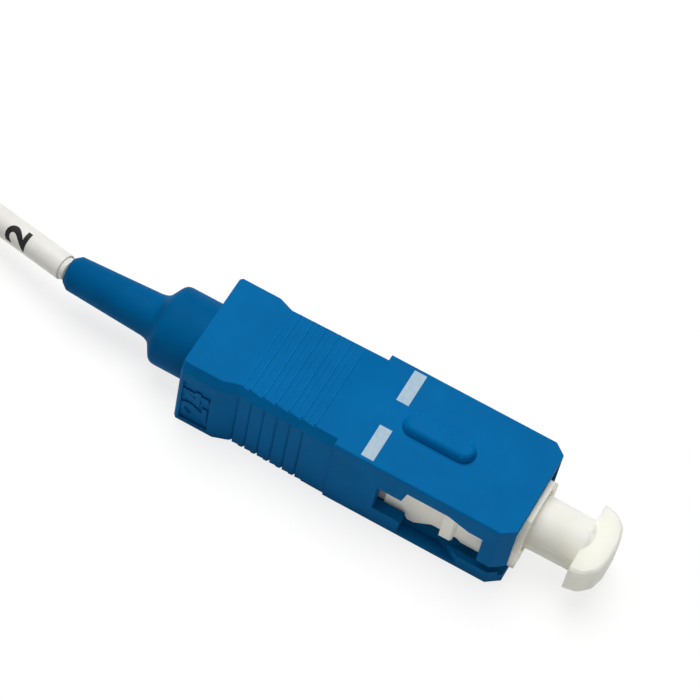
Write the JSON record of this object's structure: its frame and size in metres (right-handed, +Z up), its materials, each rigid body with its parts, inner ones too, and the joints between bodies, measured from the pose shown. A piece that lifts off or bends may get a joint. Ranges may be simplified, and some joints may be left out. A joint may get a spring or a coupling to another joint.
{
  "type": "fibre optic pigtail connector",
  "caption": "Push-pull square fibre connector with a ribbed blue grip, white plug frame, rubber boot and dust cap, on a thin lead with a marker sleeve, put away in a tied hank.",
  "frame": {"origin": "under the middle of the connector, boot end to dust cap, at the level of the grip's underside", "axes": "+X towards the dust cap and the ferrule, +Z up through the grip's key"},
  "size_m": [0.1098, 0.0172, 0.0096],
  "materials": {
    "blue_grip": "satin moulded blue",
    "blue_boot": "soft moulded blue, slightly darker than the grip",
    "white_frame": "warm white moulding",
    "stop_plastic": "plain light grey moulding",
    "milky_cap": "milky, slightly see-through soft plastic",
    "ceramic": "polished white ceramic",
    "nickel": "plain nickel plate",
    "spring_steel": "bright drawn wire",
    "clear_tube": "slightly milky tube",
    "buffer": "white tight buffer",
    "fibre_glass": "bare glass fibre",
    "aramid": "yellow aramid yarn",
    "lead_jacket": "light grey-white soft jacket",
    "marker_white": "off-white marker tube"
  },
  "bodies": {
    "plug": {"plug_frame": "white_frame", "stop_ring": "stop_plastic", "crimp_ring": "nickel", "aramid_yarn": "aramid", "boot": "blue_boot", "spring": "spring_steel", "lead_jacket_end": "lead_jacket", "lead_run": "lead_jacket", "lead_hank": "lead_jacket", "marker_sleeve": "marker_white"},
    "grip": {"outer_grip": "blue_grip"},
    "ferrule_set": {"ferrule": "ceramic", "ferrule_flange": "nickel", "glass_fibre": "fibre_glass", "inner_tube": "clear_tube", "tight_buffer": "buffer"},
    "cap": {"dust_cap": "milky_cap"}
  },
  "joints": [
    {"name": "grip_slide", "type": "slide", "parent": "plug", "child": "grip", "axis": [-1, 0, 0], "range_m": [0, 0.0016]},
    {"name": "ferrule_float", "type": "slide", "parent": "plug", "child": "ferrule_set", "axis": [-1, 0, 0], "range_m": [0, 0.001], "stiffness_N_per_m": 1000, "deforming": ["spring"]},
    {"name": "cap_pull", "type": "slide", "parent": "ferrule_set", "child": "cap", "axis": [1, 0, 0], "range_m": [0, 0.012]}
  ]
}
